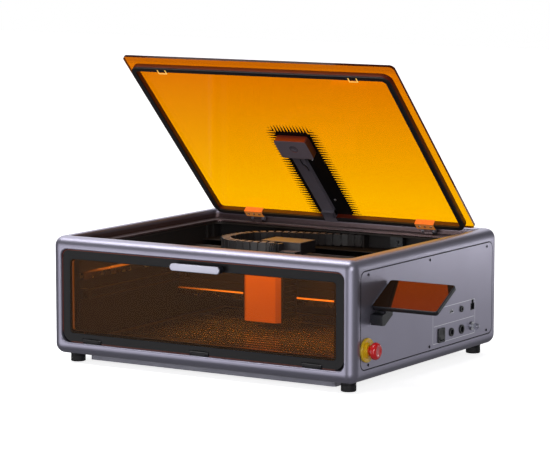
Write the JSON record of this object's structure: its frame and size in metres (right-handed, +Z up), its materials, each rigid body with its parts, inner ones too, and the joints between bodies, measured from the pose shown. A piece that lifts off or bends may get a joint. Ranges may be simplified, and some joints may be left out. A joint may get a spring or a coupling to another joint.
{
  "type": "desktop laser cutter",
  "caption": "Enclosed desktop laser cutter with a raised amber lid carrying a camera, drop-down smoked front door, tilting side screen, XY gantry with laser head and rear exhaust collar.",
  "frame": {"origin": "middle of the case footprint on the plane the feet stand on, which is z = 0", "axes": "+Z up, -Y out of the front door, +X towards the side with the screen, switch and sockets"},
  "size_m": [0.6847, 0.5158, 0.4921],
  "materials": {
    "case_paint": "fine satin powder coat, light cool grey",
    "tray_paint": "matt grey powder coat",
    "liner_paint": "matt black powder coat",
    "amber_acrylic": "clear amber laser-blocking acrylic, polished",
    "smoked_acrylic": "very dark amber laser-blocking acrylic, polished",
    "rim_plastic": "matt dark brown moulding",
    "rubber": "matt black rubber",
    "black_plastic": "fine-textured black",
    "black_steel": "black oxide",
    "steel": "ground steel",
    "alu_black": "black anodised, satin",
    "alu_silver": "silver anodised, satin",
    "orange_cover": "satin orange",
    "belt": "toothed belt rubber",
    "chain_plastic": "glass-filled nylon, semi-matt",
    "circuit": "green solder mask",
    "yellow_plastic": "glossy yellow",
    "red_plastic": "glossy red",
    "chrome": "bright nickel plate",
    "brass": "turned brass",
    "screen_glass": "black cover glass, polished",
    "lens_glass": "coated lens"
  },
  "bodies": {
    "base": {"body_shell": "case_paint", "side_panel_left": "case_paint", "side_panel_right": "case_paint", "back_panel": "case_paint", "base_tray": "tray_paint", "panel_screws": "black_steel", "feet": "rubber", "inner_liner": "liner_paint", "bed_frame": "alu_black", "bed_slats": "steel", "flame_sensor": "black_plastic", "fan_frame": "black_plastic", "exhaust_collar": "black_plastic", "y_rails": "steel", "y_belts": "belt", "y_belt_supports": "alu_black", "y_motor": "black_steel", "chain_rear_run": "chain_plastic", "control_board": "circuit", "round_sockets": "black_plastic", "usb_socket": "steel", "network_jack": "black_plastic", "key_lock": "chrome", "rocker_bezel": "black_plastic", "estop_base": "yellow_plastic", "display_bracket": "black_plastic", "lid_hinge_tabs": "case_paint", "door_hinge_brackets": "black_steel"},
    "lid": {"lid_plate": "amber_acrylic", "lid_frame": "rim_plastic", "lid_gasket": "rubber", "lid_hinge_leaves": "steel", "camera_arm": "black_plastic", "camera_head": "black_plastic", "camera_lens": "lens_glass"},
    "door": {"door_panel": "smoked_acrylic", "door_frame": "black_plastic", "door_knuckles": "black_steel", "door_handle_body": "black_plastic", "door_handle_cap": "alu_silver"},
    "gantry": {"gantry_beam": "alu_black", "gantry_ends": "alu_black", "x_rail": "steel", "x_belt": "belt", "x_motor": "black_steel", "chain_front_run": "chain_plastic"},
    "carriage": {"carriage_plate": "alu_black", "carriage_cover": "black_plastic", "laser_body": "alu_black", "laser_cover": "orange_cover", "laser_nozzle": "brass"},
    "y_drive": {"y_shaft": "steel"},
    "x_drive": {"x_pulley": "alu_silver"},
    "fan": {"fan_rotor": "black_plastic"},
    "display": {"display_housing": "black_plastic", "display_glass": "screen_glass"},
    "estop": {"estop_button": "red_plastic"},
    "switch": {"rocker": "black_plastic"},
    "lock": {"key": "chrome"}
  },
  "joints": [
    {"name": "lid_hinge", "type": "hinge", "parent": "base", "child": "lid", "pos_m": [0, 0.209, 0.1975], "axis": [-1, 0, 0], "range_deg": [-45.1, 20]},
    {"name": "door_hinge", "type": "hinge", "parent": "base", "child": "door", "pos_m": [0, -0.231, 0.0386], "axis": [1, 0, 0], "range_deg": [0, 90]},
    {"name": "gantry_slide", "type": "slide", "parent": "base", "child": "gantry", "axis": [0, 1, 0], "range_m": [-0.19, 0.06], "deforming": ["chain_rear_run", "chain_front_run"]},
    {"name": "carriage_slide", "type": "slide", "parent": "gantry", "child": "carriage", "axis": [1, 0, 0], "range_m": [-0.168, 0.205], "deforming": ["chain_front_run"]},
    {"name": "y_drive_spin", "type": "hinge", "parent": "base", "child": "y_drive", "pos_m": [0, 0.19, 0.11], "axis": [1, 0, 0], "range_deg": [-770, 1715]},
    {"name": "x_drive_spin", "type": "hinge", "parent": "gantry", "child": "x_drive", "pos_m": [0.204, 0.0475, 0.1148], "axis": [0, 1, 0], "range_deg": [-1520, 1850]},
    {"name": "fan_spin", "type": "hinge", "parent": "base", "child": "fan", "pos_m": [-0.12, 0.223, 0.111], "axis": [0, 1, 0], "continuous": true},
    {"name": "display_tilt", "type": "hinge", "parent": "base", "child": "display", "pos_m": [0.296, -0.1724, 0.127], "axis": [1, 0, 0], "range_deg": [-29, 8]},
    {"name": "estop_press", "type": "slide", "parent": "base", "child": "estop", "axis": [-1, 0, 0], "range_m": [0, 0.004]},
    {"name": "rocker_tip", "type": "hinge", "parent": "base", "child": "switch", "pos_m": [0.2795, 0.0404, 0.0545], "axis": [0, 1, 0], "range_deg": [0, 16]},
    {"name": "key_turn", "type": "hinge", "parent": "base", "child": "lock", "pos_m": [0.2835, 0.1447, 0.0554], "axis": [1, 0, 0], "range_deg": [0, 90]}
  ],
  "couplings": [
    {"joint": "y_drive_spin", "follows": "gantry_slide", "rad_per_m": -157.08},
    {"joint": "x_drive_spin", "follows": "carriage_slide", "rad_per_m": 157.08}
  ]
}
